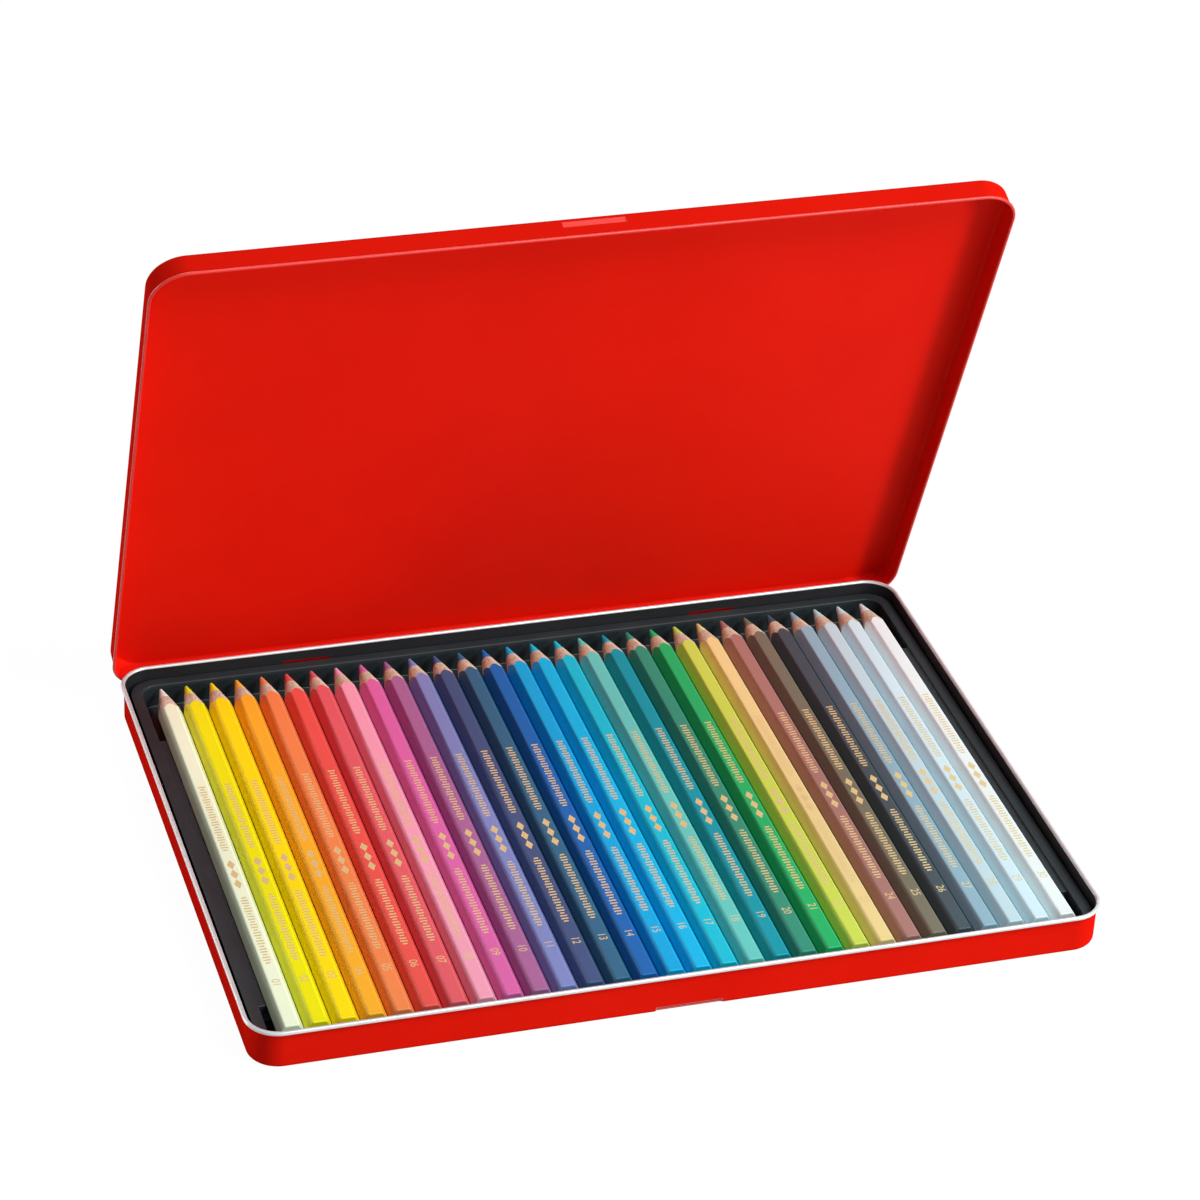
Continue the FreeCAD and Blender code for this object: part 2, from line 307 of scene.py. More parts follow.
def make_base():
    bm = bmesh.new()
    wall_x = WALL_IN_X + TIN
    wall_y = WALL_IN_Y + TIN
    inner = FLOOR_EDGE - TIN
    rim = rounded_plate(bm, wall_x - FLOOR_EDGE, wall_y - FLOOR_EDGE, WALL_CORNER - FLOOR_EDGE, 0)
    red, bright, black, edge = 0, 1, 2, 3
    rim, at = draw_section(bm, rim, (0, 0), bend(0, FLOOR_EDGE, FLOOR_EDGE, -90, 0, EDGE_STEPS), red)
    curl_out = inner + CURL_R
    root = math.degrees(math.acos((TIN - CURL_R) / CURL_R))
    neck = CURL_Z - CURL_R * math.sin(math.radians(root))
    wall = [(FLOOR_EDGE, z) for z in (THUMB_H, SLOT_LOW, SLOT_TOP, neck)]
    rim, at = draw_section(bm, rim, at, wall, red)
    rim, at = draw_section(bm, rim, at, bend(curl_out, CURL_Z, CURL_R, -root, 180, CURL_STEPS), bright)
    rim, at = draw_section(bm, rim, at, [(inner, z) for z in (SLOT_TOP, SLOT_LOW, FLOOR_EDGE)], black)
    rim, _ = draw_section(bm, rim, at, bend(0, FLOOR_EDGE, inner, 0, -90, EDGE_STEPS), black)
    floor = bmesh.ops.contextual_create(bm, geom=rim)["faces"]
    floor[0].material_index = black
    # the thumb recess: a sloping dent with short sloping ends, in both faces of
    # the sheet; outer tells which face a corner belongs to
    low = (-wall_x, -wall_y, 0)
    high = (wall_x, FLOOR_EDGE - wall_y, THUMB_H)
    for x in (-THUMB_HALF, THUMB_SIDE - THUMB_HALF, THUMB_HALF - THUMB_SIDE, THUMB_HALF):
        split_at(bm, faces_in(bm, low, high), (x, 0, 0), (1, 0, 0))
    for vert in bm.verts:
        x, y, z = vert.co
        at_front = y < FLOOR_EDGE - wall_y - NEAR and z < THUMB_H - NEAR
        if at_front and abs(x) < THUMB_HALF - THUMB_SIDE + NEAR:
            slope = THUMB_DEEP * (1 - z / THUMB_H) - wall_y
            behind = slope + TIN * math.hypot(1, THUMB_DEEP / THUMB_H)
            outer = min(math.hypot(y + wall_y - FLOOR_EDGE, z - FLOOR_EDGE), -y - wall_y + 2 * FLOOR_EDGE)
            vert.co.y = max(y, slope if outer > FLOOR_EDGE - TIN / 2 else behind)
    # the recess faces take the shinier red with its painted highlight
    for face in faces_in(bm, (-THUMB_HALF, -wall_y, 0), (THUMB_HALF, THUMB_DEEP - wall_y, THUMB_H)):
        if face.material_index == red:
            face.material_index = edge
    # two slots in the rear wall, each between two folded ears
    for x in (-HINGE_X, HINGE_X):
        low = (-wall_x, WALL_IN_Y, SLOT_LOW)
        high = (wall_x, wall_y, SLOT_TOP)
        for end in (x - SLOT_HALF, x + SLOT_HALF):
            split_at(bm, faces_in(bm, low, high), (end, 0, 0), (1, 0, 0))
        slot = faces_in(bm, (x - SLOT_HALF, WALL_IN_Y, SLOT_LOW), (x + SLOT_HALF, wall_y, SLOT_TOP))
        edges = list({e for f in slot for e in f.edges})
        bmesh.ops.delete(bm, geom=slot, context="FACES_ONLY")
        bmesh.ops.bridge_loops(bm, edges=edges)
        hinge_ear(bm, x - SLOT_HALF - EAR_T)
        hinge_ear(bm, x + SLOT_HALF)
    base = finish_piece(bm, "base_pan", [RED, BRIGHT, BLACK, RED_EDGE_PAINTED_HIGHLIGHT], "base")
    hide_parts("base_tin")


make_base()


# Pencil tray: one sheet of black plastic, formed over a mould. A ledge runs all
# round, the bed has a groove for each pencil, and it drops into a trough under
# the points and under the rear ends. It stands loose on the floor of the tin.
PLASTIC = 0.5
TRAY_SHIFT = 0.6
TRAY_X = 122.89
TRAY_Y = 91.7
TRAY_CORNER = 8.2
LEDGE_Z = 8.4
WELL_X = 119.49
WELL_BACK = 88.3
WELL_FRONT = -89.6
WELL_CORNER = 4.7
WELL_EDGE = 0.35
TROUGH_Z = TIN + PLASTIC
BED_Z = 4.4
BED_BACK = 77.4
BED_FRONT = -76.3
BED_STEP = 0.4
SHELF_X = 117.34
SHELF_Z = 7.5
SHELF_BACK = 59.4
SHELF_FRONT = -73.8
SHELF_STEP = 0.2
PENCIL_COUNT = 30
PITCH = 7.818
FIRST_X = -PITCH * (PENCIL_COUNT - 1) / 2
RIDGE_FOOT = 1.675
RIDGE_TOP = 0.775
RIDGE_H = 1.3
FOLD_WIDTH = 0.25
FOLD_STEPS = 2
WELL_STEPS = 4


def formed_plastic(name, colour, lighter, low, high):
    """Black sheet: satin, with the fine even grain that the mould leaves."""
    material, tree, shader = new_material(name)
    place = here(tree)
    grain = noise(tree, place, 2600.0, 2.0)
    cloud = noise(tree, place, 60.0, 4.0)
    tone = spread(tree, cloud, 0.3, 0.7, 0.0, 1.0)
    tree.links.new(between(tree, tone, linear(colour), linear(lighter)), shader.inputs["Base Color"])
    tree.links.new(spread(tree, cloud, 0.3, 0.7, low, high), shader.inputs["Roughness"])
    tree.links.new(relief(tree, grain, 0.12, 0.0002), shader.inputs["Normal"])
    shader.inputs["Specular IOR Level"].default_value = 0.2
    return material


def tray_height(x, y):
    """How high the formed sheet stands at a place in the well."""
    if abs(x) > SHELF_X - NEAR and SHELF_FRONT - NEAR < y < SHELF_BACK + NEAR:
        return SHELF_Z
    if BED_FRONT - NEAR < y < BED_BACK + NEAR:
        place = (x - FIRST_X) / PITCH - 0.5
        off = abs(place - min(max(round(place), 0), PENCIL_COUNT - 2)) * PITCH
        return BED_Z + RIDGE_H if off < RIDGE_TOP + NEAR else BED_Z
    return TROUGH_Z


def make_tray():
    bm = bmesh.new()
    middle = (WELL_BACK + WELL_FRONT) / 2
    half = (WELL_BACK - WELL_FRONT) / 2
    well = rounded_plate(bm, WELL_X, half, WELL_CORNER, TROUGH_Z, middle)
    edge = bend(WELL_EDGE, LEDGE_Z - WELL_EDGE, WELL_EDGE, 180, 90, WELL_STEPS)
    mouth, _ = draw_section(bm, well, (0, TROUGH_Z), [(0, LEDGE_Z - WELL_EDGE)] + edge, 0)
    brim = rounded_plate(bm, TRAY_X, TRAY_Y, TRAY_CORNER, LEDGE_Z)
    bmesh.ops.delete(bm, geom=[brim[0].link_faces[0]], context="FACES_ONLY")
    bmesh.ops.bridge_loops(bm, edges=mouth + brim)
    # the floor is cut along every fold of the form, then raised
    xs = [SHELF_X, SHELF_X - SHELF_STEP, -SHELF_X, SHELF_STEP - SHELF_X]
    for i in range(PENCIL_COUNT - 1):
        c = FIRST_X + PITCH * (i + 0.5)
        xs += [c - RIDGE_FOOT, c - RIDGE_TOP, c + RIDGE_TOP, c + RIDGE_FOOT]
    ys = [BED_BACK, BED_BACK + BED_STEP, BED_FRONT, BED_FRONT - BED_STEP]
    ys += [SHELF_BACK, SHELF_BACK + SHELF_STEP, SHELF_FRONT, SHELF_FRONT - SHELF_STEP]
    low = (-WELL_X, WELL_FRONT, TROUGH_Z)
    high = (WELL_X, WELL_BACK, TROUGH_Z)
    for x in xs:
        split_at(bm, faces_in(bm, low, high), (x, 0, 0), (1, 0, 0))
    for y in ys:
        split_at(bm, faces_in(bm, low, high), (0, y, 0), (0, 1, 0))
    for vert in {v for f in faces_in(bm, low, high) for v in f.verts}:
        vert.co.z = tray_height(vert.co.x, vert.co.y)
    bmesh.ops.translate(bm, vec=(TRAY_SHIFT, 0, 0), verts=bm.verts)
    sheet_finish = formed_plastic("black_formed_sheet", "252d30", "2c3437", 0.44, 0.54)
    # The folds are shinier and painted a lighter grey: a painted highlight along every rounded edge of
    # the form.
    fold_painted_highlight = formed_plastic("black_formed_folds_painted_highlight", "596367", "646d71", 0.34, 0.44)
    tray = finish_piece(bm, "formed_tray", [sheet_finish, fold_painted_highlight], "base")
    soft = tray.modifiers.new("soft_folds", "BEVEL")
    soft.width = FOLD_WIDTH * MM
    soft.segments = FOLD_STEPS
    soft.limit_method = "ANGLE"
    soft.angle_limit = SHARP_ANGLE
    # the rounded folds take the lighter grey, the painted highlight
    soft.material = 1
    sheet = tray.modifiers.new("sheet", "SOLIDIFY")
    sheet.thickness = PLASTIC * MM
    sheet.offset = -1
    tray.modifiers.move(0, 2)
    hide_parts("pencil_tray")


make_tray()


# Hinge pins: two lengths of drawn steel wire, headed at both ends, that hold
# the lid's rolled tabs between the ears of the base.
def drawn_wire():
    """Steel wire with fine marks of the die along its length."""
    material, tree, shader = new_material("drawn_steel_wire")
    along = put(tree, "ShaderNodeMapping", {"Vector": here(tree), "Scale": (40.0, 4000.0, 4000.0)})
    marks = noise(tree, along.outputs[0], 1.0, 3.0)
    tree.links.new(between(tree, marks, linear("b4b4b2"), linear("8f9092")), shader.inputs["Base Color"])
    tree.links.new(spread(tree, marks, 0.3, 0.7, 0.22, 0.4), shader.inputs["Roughness"])
    shader.inputs["Metallic"].default_value = 1.0
    return material


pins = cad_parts["hinge_pins"]
pins.data.materials.clear()
pins.data.materials.append(drawn_wire())


# Lid: a shallower pan, red on both sides, with a smaller curl at its mouth. A
# snap bar is pressed into the front skirt, and at the rear two tabs are rolled
# round the hinge pins. It is drawn shut and then swung open.
LID_GAP = 0.6
LID_IN_X = RIM_X + LID_GAP
LID_IN_Y = RIM_Y + LID_GAP
LID_CORNER = 10.85
LID_EDGE = 1.4
LID_TOP = 13.1
LIP_R = 0.45
LIP_Z = 5.55
LIP_STEPS = 22
LID_OPEN = math.radians(68.86)
SNAP_HALF = 9.3
SNAP_LOW = 9.45
SNAP_TOP = 11.35
SNAP_DEEP = 0.35
SNAP_SLOPE = 0.3
WINDOW_HALF = 9.0
WINDOW_OVER = 1.33
WINDOW_TOP = HINGE_Z + WINDOW_OVER
TAB_HALF = 7.05
ROLL_IN = 0.53
ROLL_OUT = 0.85
ROLL_TURN = math.radians(320)
# The lid's inside: the same red lacquer painted lighter, a painted light on the inner panel and skirts.
RED_INSIDE_PAINTED_LIGHTER = lacquer(
    "red_lacquer_inside_painted_lighter", "de190b", "d9170a", gloss=(0.42, 0.5), ripple=TIN_RIPPLE, shine=0.02,
)


def roll_tab(bm, x):
    """The tab left between two cuts, led down to the pin and rolled round it."""
    made = bmesh.ops.create_grid(bm, x_segments=1, y_segments=1, size=1)["verts"]
    bmesh.ops.scale(bm, vec=(TAB_HALF, TIN / 2, 1), verts=made)
    bmesh.ops.translate(bm, vec=(x, LID_IN_Y + TIN / 2, WINDOW_TOP), verts=made)
    face = made[0].link_faces[0]
    grown = bmesh.ops.extrude_face_region(bm, geom=[face])["geom"]
    ends = end_verts(grown)
    for vert in ends:
        inner = vert.co.y < LID_IN_Y + TIN / 2
        vert.co.y = HINGE_Y - (ROLL_OUT if inner else ROLL_IN)
        vert.co.z = HINGE_Z
    tip = [g for g in grown if isinstance(g, bmesh.types.BMFace)]
    bmesh.ops.spin(
        bm, geom=tip + list(tip[0].edges) + ends, cent=(x, HINGE_Y, HINGE_Z), axis=(1, 0, 0),
        angle=ROLL_TURN, steps=PIN_STEPS, use_merge=False, use_duplicate=False,
    )


def make_lid():
    bm = bmesh.new()
    lid_x = LID_IN_X + TIN
    lid_y = LID_IN_Y + TIN
    inner = LID_EDGE - TIN
    outside, lip, inside = 0, 1, 2
    rim = rounded_plate(bm, lid_x - LID_EDGE, lid_y - LID_EDGE, LID_CORNER - LID_EDGE, LID_TOP)
    shoulder = LID_TOP - LID_EDGE
    rim, at = draw_section(bm, rim, (0, LID_TOP), bend(0, shoulder, LID_EDGE, 90, 0, EDGE_STEPS), outside)
    root = math.degrees(math.acos((TIN - LIP_R) / LIP_R))
    neck = LIP_Z + LIP_R * math.sin(math.radians(root))
    ridge = SNAP_LOW + SNAP_SLOPE
    levels = [SNAP_TOP, ridge, SNAP_LOW, WINDOW_TOP]
    rim, at = draw_section(bm, rim, at, [(LID_EDGE, z) for z in levels + [neck]], outside)
    # the lip takes the shinier red with its painted highlight
    rim, at = draw_section(bm, rim, at, bend(inner + LIP_R, LIP_Z, LIP_R, root, -180, LIP_STEPS), lip)
    rim, at = draw_section(bm, rim, at, [(inner, z) for z in levels[::-1] + [shoulder]], inside)
    rim, _ = draw_section(bm, rim, at, bend(0, shoulder, inner, 0, 90, EDGE_STEPS), inside)
    panel = bmesh.ops.contextual_create(bm, geom=rim)["faces"]
    panel[0].material_index = inside
    # the snap bar stands inward: a long slope, a steep step and sloping ends
    low = (-lid_x, -lid_y, SNAP_LOW)
    high = (lid_x, -LID_IN_Y, SNAP_TOP)
    for x in (-SNAP_HALF, SNAP_SLOPE - SNAP_HALF, SNAP_HALF - SNAP_SLOPE, SNAP_HALF):
        split_at(bm, faces_in(bm, low, high), (x, 0, 0), (1, 0, 0))
    for vert in bm.verts:
        x, y, z = vert.co
        at_front = y < NEAR - LID_IN_Y and abs(z - ridge) < NEAR
        if at_front and abs(x) < SNAP_HALF - SNAP_SLOPE + NEAR:
            vert.co.y += SNAP_DEEP
    # the snap ramp's faces take the shinier red with its painted highlight
    for face in faces_in(bm, (-SNAP_HALF, -lid_y, SNAP_LOW), (SNAP_HALF, SNAP_DEEP - LID_IN_Y, SNAP_TOP)):
        face.material_index = lip
    # a window at each hinge, with its tab
    for x in (-HINGE_X, HINGE_X):
        low = (-lid_x, LID_IN_Y - NEAR, LIP_Z - LIP_R)
        high = (lid_x, LID_IN_Y + 2 * LIP_R, WINDOW_TOP)
        for end in (x - WINDOW_HALF, x + WINDOW_HALF):
            split_at(bm, faces_in(bm, low, high), (end, 0, 0), (1, 0, 0))
        window = faces_in(bm, (x - WINDOW_HALF,) + low[1:], (x + WINDOW_HALF,) + high[1:])
        edges = {e for f in window for e in f.edges}
        bmesh.ops.delete(bm, geom=window, context="FACES")
        for end in (x - WINDOW_HALF, x + WINDOW_HALF):
            section = [e for e in edges if e.is_valid and all(abs(v.co.x - end) < NEAR for v in e.verts)]
            bmesh.ops.contextual_create(bm, geom=section)
        rest = [e for e in edges if e.is_valid and len(e.link_faces) == 1]
        upper = [e for e in rest if all(abs(v.co.z - WINDOW_TOP) < NEAR for v in e.verts)]
        bmesh.ops.bridge_loops(bm, edges=upper)
        roll_tab(bm, x)
    turn = Matrix.Rotation(-LID_OPEN, 3, "X")
    bmesh.ops.rotate(bm, cent=(0, HINGE_Y, HINGE_Z), matrix=turn, verts=bm.verts)
    lid = finish_piece(bm, "lid_pan", [RED, RED_EDGE_PAINTED_HIGHLIGHT, RED_INSIDE_PAINTED_LIGHTER], "lid")
    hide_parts("lid")


make_lid()


# Pencils: a six-sided cedar case in coloured lacquer, cut flat at the rear and
# sharpened to a point, round a thick coloured lead. The lacquer ends in a
# scalloped edge where the sharpener met the flats.
PENCIL_FLATS = 6.7
PENCIL_SIDE = PENCIL_FLATS / math.sqrt(3)
PENCIL_CORNER = 0.5
PENCIL_END_EDGE = 0.42
PENCIL_SEAT = 0.02
PENCIL_Z = BED_Z + PENCIL_SEAT + PENCIL_FLATS / 2
PENCIL_TIP_Y = 86.4
PENCIL_REAR_Y = -88.6
CONE_SLOPE = 0.223
TIP_R = 0.5
TIP_RINGS = ((1.0, 0.25), (0.75, 0.08), (0.35, 0.0))
LEAD_R = 1.9
CORNER_STEPS = 4
END_STEPS = 3
FLAT_CUTS = 10
COAT_RIPPLE = (420.0, 0.04)
# The lacquer colours carry a painted cool tint, plainest in the white, that offsets the red light the
# open lid throws on the row.
PENCILS = [
    ("ivory", "e8f8d8"), ("lemon_yellow", "e8e818"), ("golden_yellow", "f8e018"),
    ("light_orange", "f0b030"), ("orange", "e88850"), ("scarlet", "e05850"),
    ("carmine", "d86068"), ("pink", "e8a0b8"), ("magenta", "d068a8"),
    ("purple", "a06898"), ("lilac", "7888c0"), ("night_blue", "405880"),
    ("indigo", "306888"), ("ultramarine", "1868b0"), ("cerulean", "08a8e0"),
    ("light_blue", "08b8e8"), ("turquoise", "10c0d8"), ("sea_green", "60c8c0"),
    ("peacock", "0898a8"), ("dark_green", "309078"), ("green", "20b068"),
    ("yellow_green", "c0d858"), ("ochre", "e0d090"), ("russet", "a07870"),
    ("umber", "707060"), ("black", "405058"), ("slate_grey", "88b0c0"),
    ("light_grey", "b8d8e0"), ("pale_blue", "c8e8f0"), ("white", "e0f0f0"),
]


def shade(hex_colour, red, green, blue):
    """A written colour with each of its parts made weaker or stronger."""
    parts = [int(hex_colour[k:k + 2], 16) for k in (0, 2, 4)]
    scaled = [min(255, round(part * factor)) for part, factor in zip(parts, (red, green, blue))]
    return "%02x%02x%02x" % tuple(scaled)


def cedar():
    """Cut cedar: pale tan, with fine dark streaks along the grain; the tan is painted paler and less red,
    a painted light on the points that also offsets the lid's red light.
    """
    material, tree, shader = new_material("cedar")
    along = put(tree, "ShaderNodeMapping", {"Vector": here(tree), "Scale": (1.0, 0.06, 1.0)})
    broad = noise(tree, along.outputs[0], 700.0, 4.0)
    fine = noise(tree, along.outputs[0], 3600.0, 3.0)
    tone = spread(tree, broad, 0.35, 0.65, 0.0, 1.0)
    streak = spread(tree, fine, 0.46, 0.74, 0.0, 0.75)
    wood = between(tree, tone, linear("dcdbc4"), linear("cac4a6"))
    tree.links.new(between(tree, streak, wood, linear("80694f")), shader.inputs["Base Color"])
    shader.inputs["Roughness"].default_value = 0.62
    tree.links.new(relief(tree, fine, 0.25, 0.0001), shader.inputs["Normal"])
    return material


def colour_lead(name, colour):
    """Waxy coloured core with a faintly crumbly cut face, its colour painted lighter as painted light."""
    material, tree, shader = new_material("lead_" + name)
    crumb = noise(tree, here(tree), 2600.0, 4.0)
    tone = spread(tree, crumb, 0.35, 0.7, 0.0, 1.0)
    # Both tones are painted lighter and less red than the lacquer: painted light on the points,
    # offsetting the lid's red light.
    fresh_with_painted_light = linear(shade(colour, 1.06, 1.2, 1.2))
    rubbed_with_painted_light = linear(shade(colour, 0.92, 1.04, 1.04))
    tree.links.new(between(tree, tone, fresh_with_painted_light, rubbed_with_painted_light), shader.inputs["Base Color"])
    shader.inputs["Roughness"].default_value = 0.55
    tree.links.new(relief(tree, crumb, 0.3, 0.0001), shader.inputs["Normal"])
    return material


def sharpen(bm, face, radius_at, y_at, finish):
    """Carries the case on from its end face to a new ring round the axis."""
    made = bmesh.ops.extrude_face_region(bm, geom=[face])["geom"]
    bmesh.ops.delete(bm, geom=[face], context="FACES_ONLY")
    for vert in end_verts(made):
        r = math.hypot(vert.co.x, vert.co.z)
        share = radius_at(r) / r
        vert.co = (vert.co.x * share, y_at(radius_at(r)), vert.co.z * share)
    new_face = next(g for g in made if isinstance(g, bmesh.types.BMFace))
    for edge in new_face.edges:
        for side in edge.link_faces:
            if side is not new_face:
                side.material_index = finish
    new_face.material_index = finish
    return new_face


def along_row(index):
    """How far along the row a pencil's axis lies."""
    return TRAY_SHIFT + FIRST_X + PITCH * index


def make_pencil(index, name, colour, wood):
    bm = bmesh.new()
    coated, bare, core = 0, 1, 2
    made = bmesh.ops.create_circle(bm, cap_ends=True, segments=6, radius=PENCIL_SIDE)["verts"]
    bmesh.ops.rotate(bm, cent=(0, 0, 0), matrix=Matrix.Rotation(math.radians(30), 3, "Z"), verts=made)
    bmesh.ops.bevel(
        bm, geom=made, offset=PENCIL_CORNER / math.sqrt(3), offset_type="OFFSET", segments=CORNER_STEPS,
        profile=0.5, affect="VERTICES", material=-1,
    )
    for edge in [e for e in bm.edges if e.calc_length() > PENCIL_SIDE / 2]:
        start = edge.verts[0]
        for k in range(FLAT_CUTS):
            edge, start = bmesh.utils.edge_split(edge, start, 1 / (FLAT_CUTS + 1 - k))
            edge = next(e for e in start.link_edges if e is not edge)
    bmesh.ops.rotate(bm, cent=(0, 0, 0), matrix=Matrix.Rotation(math.radians(90), 3, "X"), verts=bm.verts)
    bmesh.ops.translate(bm, vec=(0, PENCIL_REAR_Y, 0), verts=bm.verts)

    def cone_y(r):
        return PENCIL_TIP_Y - (r - TIP_R) / CONE_SLOPE

    front = sharpen(bm, next(iter(bm.faces)), lambda r: r, cone_y, coated)
    front = sharpen(bm, front, lambda r: LEAD_R, cone_y, bare)
    for share, back in TIP_RINGS:
        front = sharpen(bm, front, lambda r: TIP_R * share, lambda r: PENCIL_TIP_Y - back, core)
    rear = bmesh.ops.contextual_create(bm, geom=[e for e in bm.edges if e.is_boundary])["faces"]
    bmesh.ops.bevel(
        bm, geom=list(rear[0].edges), offset=PENCIL_END_EDGE, offset_type="OFFSET", segments=END_STEPS,
        profile=0.5, affect="EDGES", material=-1,
    )
    bmesh.ops.translate(bm, vec=(along_row(index), 0, PENCIL_Z), verts=bm.verts)
    deeper = shade(colour, 0.97, 0.97, 0.97)
    coat = lacquer("lacquer_" + name, colour, deeper, gloss=(0.3, 0.38), ripple=COAT_RIPPLE, shine=0.15)
    finishes = [coat, wood, colour_lead(name, colour)]
    label = "%02d_%s" % (index + 1, name)
    node = "pencil_" + label
    pencil = finish_piece(bm, "case_" + label, finishes, node + "_body")
    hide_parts(node)


CEDAR = cedar()
for number, (colour_name, lacquer_colour) in enumerate(PENCILS):
    make_pencil(number, colour_name, lacquer_colour, CEDAR)


# Foil: plain gold marks, hot-pressed into the lacquer of each pencil's top flat:
# two combs of short strokes, three lozenges between them and the pencil's place
# in the row as a number.
FOIL_Z = PENCIL_Z + PENCIL_FLATS / 2
FOIL_T = 0.012
STROKE_STEP = 1.3
STROKE_W = 0.6
STROKE_LONG = 2.1
STROKE_SHORT = 1.4
STROKE_BEAT = 3
COMBS = ((-5, 29), (-60, -28))
LOZENGES = 3
LOZENGE_Y = -12
LOZENGE_STEP = 4.8
LOZENGE_LONG = 4.6
LOZENGE_WIDE = 2.3
NUMBER_Y = -69
NUMBER_H = 3.4


def gold_foil():
    """Hot-pressed gold foil, a little broken where the lacquer is uneven."""
    material, tree, shader = new_material("gold_foil")
    grain = noise(tree, here(tree), 1800.0, 3.0)
    tone = spread(tree, grain, 0.35, 0.7, 0.0, 1.0)
    tree.links.new(between(tree, tone, linear("ddd29b"), linear("cabd7e")), shader.inputs["Base Color"])
    tree.links.new(spread(tree, grain, 0.3, 0.7, 0.25, 0.42), shader.inputs["Roughness"])
    shader.inputs["Metallic"].default_value = 0.15
    return material


def foil_stroke(bm, y, width):
    """One short stroke across the flat."""
    made = bmesh.ops.create_grid(bm, x_segments=1, y_segments=1, size=1)["verts"]
    bmesh.ops.scale(bm, vec=(width / 2, STROKE_W / 2, 1), verts=made)
    bmesh.ops.translate(bm, vec=(0, y + STROKE_W / 2, 0), verts=made)


def foil_lozenge(bm, y):
    """A small diamond along the pencil."""
    made = bmesh.ops.create_circle(bm, cap_ends=True, segments=4, radius=1)["verts"]
    bmesh.ops.scale(bm, vec=(LOZENGE_WIDE / 2, LOZENGE_LONG / 2, 1), verts=made)
    bmesh.ops.translate(bm, vec=(0, y, 0), verts=made)


def foil_number(bm, text):
    """The pencil's place in the row, read from the point to the rear end."""
    curve = bpy.data.curves.new("place_number", "FONT")
    curve.body = text
    curve.size = NUMBER_H
    curve.align_x = "CENTER"
    curve.align_y = "CENTER"
    digits = bpy.data.objects.new("place_number", curve)
    bpy.context.scene.collection.objects.link(digits)
    mesh = bpy.data.meshes.new_from_object(digits)
    bpy.data.objects.remove(digits)
    before = set(bm.verts)
    bm.from_mesh(mesh)
    bpy.data.meshes.remove(mesh)
    fresh_with_painted_light = [v for v in bm.verts if v not in before]
    bmesh.ops.rotate(bm, cent=(0, 0, 0), matrix=Matrix.Rotation(math.radians(-90), 3, "Z"), verts=fresh_with_painted_light)
    bmesh.ops.translate(bm, vec=(0, NUMBER_Y, 0), verts=fresh_with_painted_light)


def make_foil(index, name, gold):
    bm = bmesh.new()
    for first, last in COMBS:
        for k in range(round((last - first) / STROKE_STEP)):
            foil_stroke(bm, first + STROKE_STEP * k, STROKE_LONG if k % STROKE_BEAT else STROKE_SHORT)
    for k in range(LOZENGES):
        foil_lozenge(bm, LOZENGE_Y - LOZENGE_STEP * k)
    foil_number(bm, "%02d" % (index + 1))
    bmesh.ops.remove_doubles(bm, verts=bm.verts, dist=NEAR)
    grown = bmesh.ops.extrude_face_region(bm, geom=bm.faces[:])["geom"]
    bmesh.ops.translate(bm, vec=(0, 0, FOIL_T), verts=end_verts(grown))
    bmesh.ops.translate(bm, vec=(along_row(index), 0, FOIL_Z - FOIL_T / 2), verts=bm.verts)
    label = "%02d_%s" % (index + 1, name)
    node = "pencil_" + label
    finish_piece(bm, "foil_" + label, [gold], node + "_body")


GOLD = gold_foil()
for number, (colour_name, _) in enumerate(PENCILS):
    make_foil(number, colour_name, GOLD)


# Studio: a plain white floor and a soft white room, one lamp overhead, a stronger
# one low in front to the right, two weaker ones behind, and the camera.
PAPER_HALF = 6
PAPER_GLOW = 1.03
PAPER_GLOW_SHARE = 0.95
ROOM_LIGHT = 0.12
LAMP_SIZE = 0.5


def greater(tree, first, second):
    """The greater of two values."""
    return put(tree, "ShaderNodeMath", {0: first, 1: second}, operation="MAXIMUM").outputs[0]


def seen_straight(tree):
    """1 for what the camera sees by itself, in a mirror or through glass."""
    path = put(tree, "ShaderNodeLightPath").outputs
    mirrored = greater(tree, path["Is Glossy Ray"], path["Is Transmission Ray"])
    return greater(tree, path["Is Camera Ray"], mirrored)


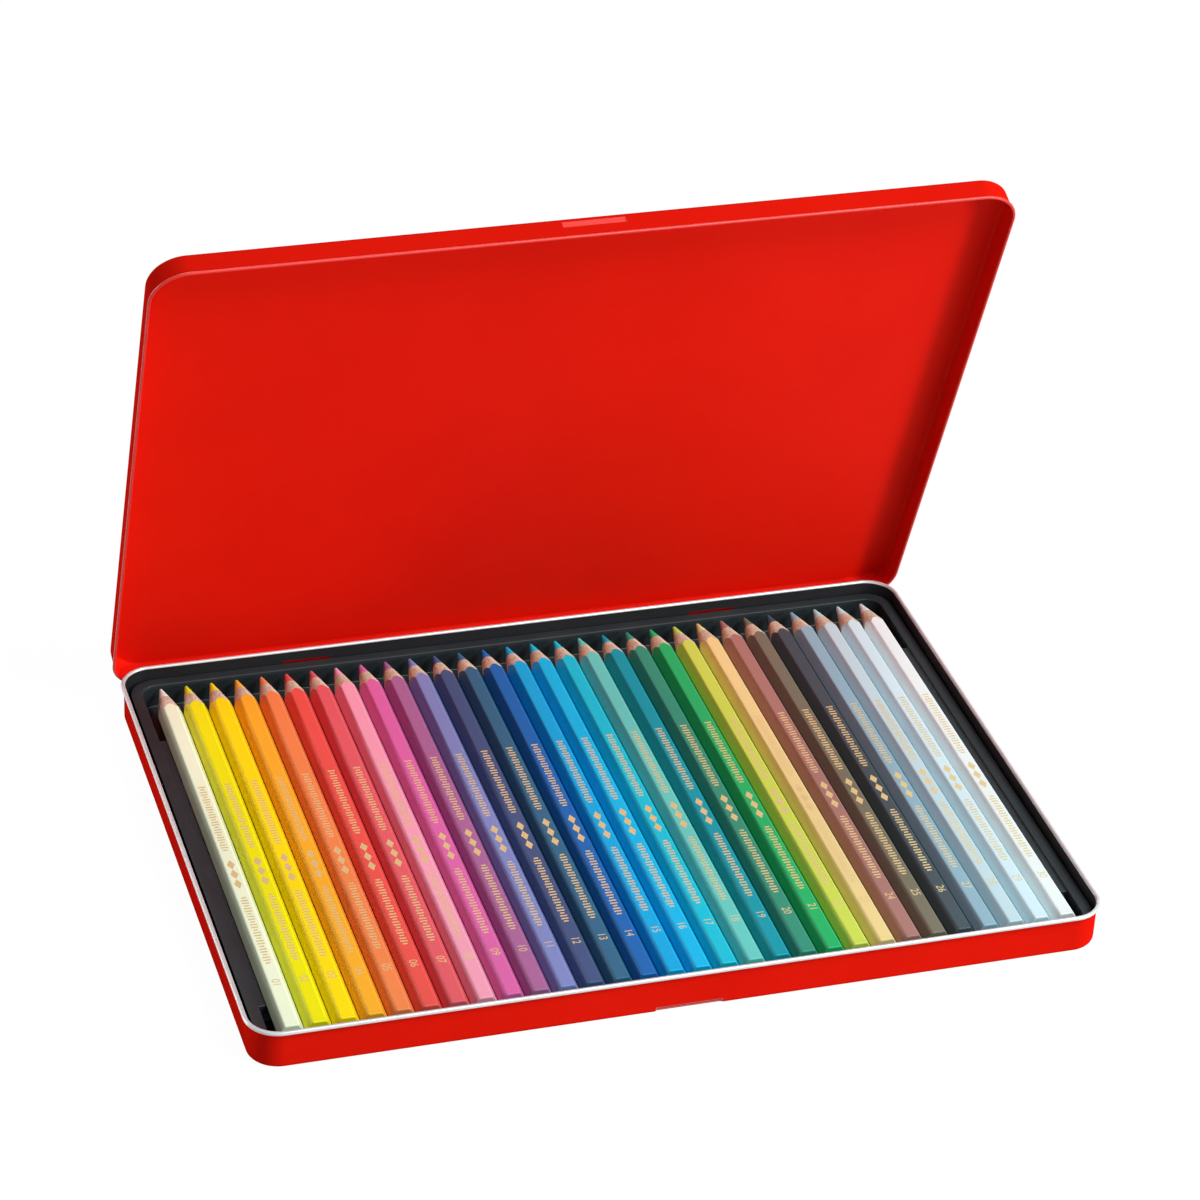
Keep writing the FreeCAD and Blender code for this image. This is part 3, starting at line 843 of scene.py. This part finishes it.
def white_floor():
    """Matt white paper that reads as white and keeps a faint shadow."""
    material, tree, shader = new_material("white_paper")
    shader.inputs["Base Color"].default_value = (0.62, 0.62, 0.62, 1.0)
    shader.inputs["Roughness"].default_value = 0.9
    share = spread(tree, seen_straight(tree), 0.0, 1.0, 0.0, PAPER_GLOW_SHARE)
    glow = put(tree, "ShaderNodeEmission", {"Color": (1, 1, 1, 1), "Strength": PAPER_GLOW})
    both = put(tree, "ShaderNodeMixShader", {0: share, 1: shader.outputs[0], 2: glow.outputs[0]})
    tree.links.new(both.outputs[0], tree.nodes["Material Output"].inputs["Surface"])
    return material


def make_floor():
    bm = bmesh.new()
    bmesh.ops.create_grid(bm, x_segments=1, y_segments=1, size=PAPER_HALF)
    mesh = bpy.data.meshes.new("floor")
    bm.to_mesh(mesh)
    bm.free()
    mesh.materials.append(white_floor())
    floor = bpy.data.objects.new("floor", mesh)
    bpy.context.scene.collection.objects.link(floor)


def make_lamp(name, place, target, watts):
    lamp = bpy.data.lights.new(name, "AREA")
    lamp.shape = "SQUARE"
    lamp.size = LAMP_SIZE
    lamp.energy = watts
    stand = bpy.data.objects.new(name, lamp)
    stand.location = place
    stand.rotation_euler = (Vector(target) - Vector(place)).to_track_quat("-Z", "Y").to_euler()
    bpy.context.scene.collection.objects.link(stand)


make_floor()
make_lamp("overhead_lamp", (0.52, -0.6, 1.08), (0, 0, 0), 17)
make_lamp("front_lamp", (1.75, -1.6, 0.62), (0, 0, 0.05), 37)
make_lamp("left_lamp", (-1.5, 0.95, 0.26), (-0.12, 0, 0.01), 14)
make_lamp("back_lamp", (0, 1.7, 0.75), (0, 0.1, 0.09), 14)

world = bpy.data.worlds.new("studio")
bpy.context.scene.world = world
world.use_nodes = True
room = world.node_tree.nodes["Background"]
room.inputs["Color"].default_value = (1, 1, 1, 1)
glow = spread(world.node_tree, seen_straight(world.node_tree), 0.0, 1.0, ROOM_LIGHT, 1.0)
world.node_tree.links.new(glow, room.inputs["Strength"])

lens = bpy.data.cameras.new("camera")
lens.sensor_width = 36
lens.lens = 127.6
lens.clip_start = 0.05
lens.clip_end = 20
camera = bpy.data.objects.new("camera", lens)
camera.location = (-0.32797, -0.98182, 0.72329)
camera.rotation_euler = [math.radians(a) for a in (58.011, -2.6624, -16.6965)]
bpy.context.scene.collection.objects.link(camera)
bpy.context.scene.camera = camera
bpy.context.scene.view_settings.view_transform = "Standard"
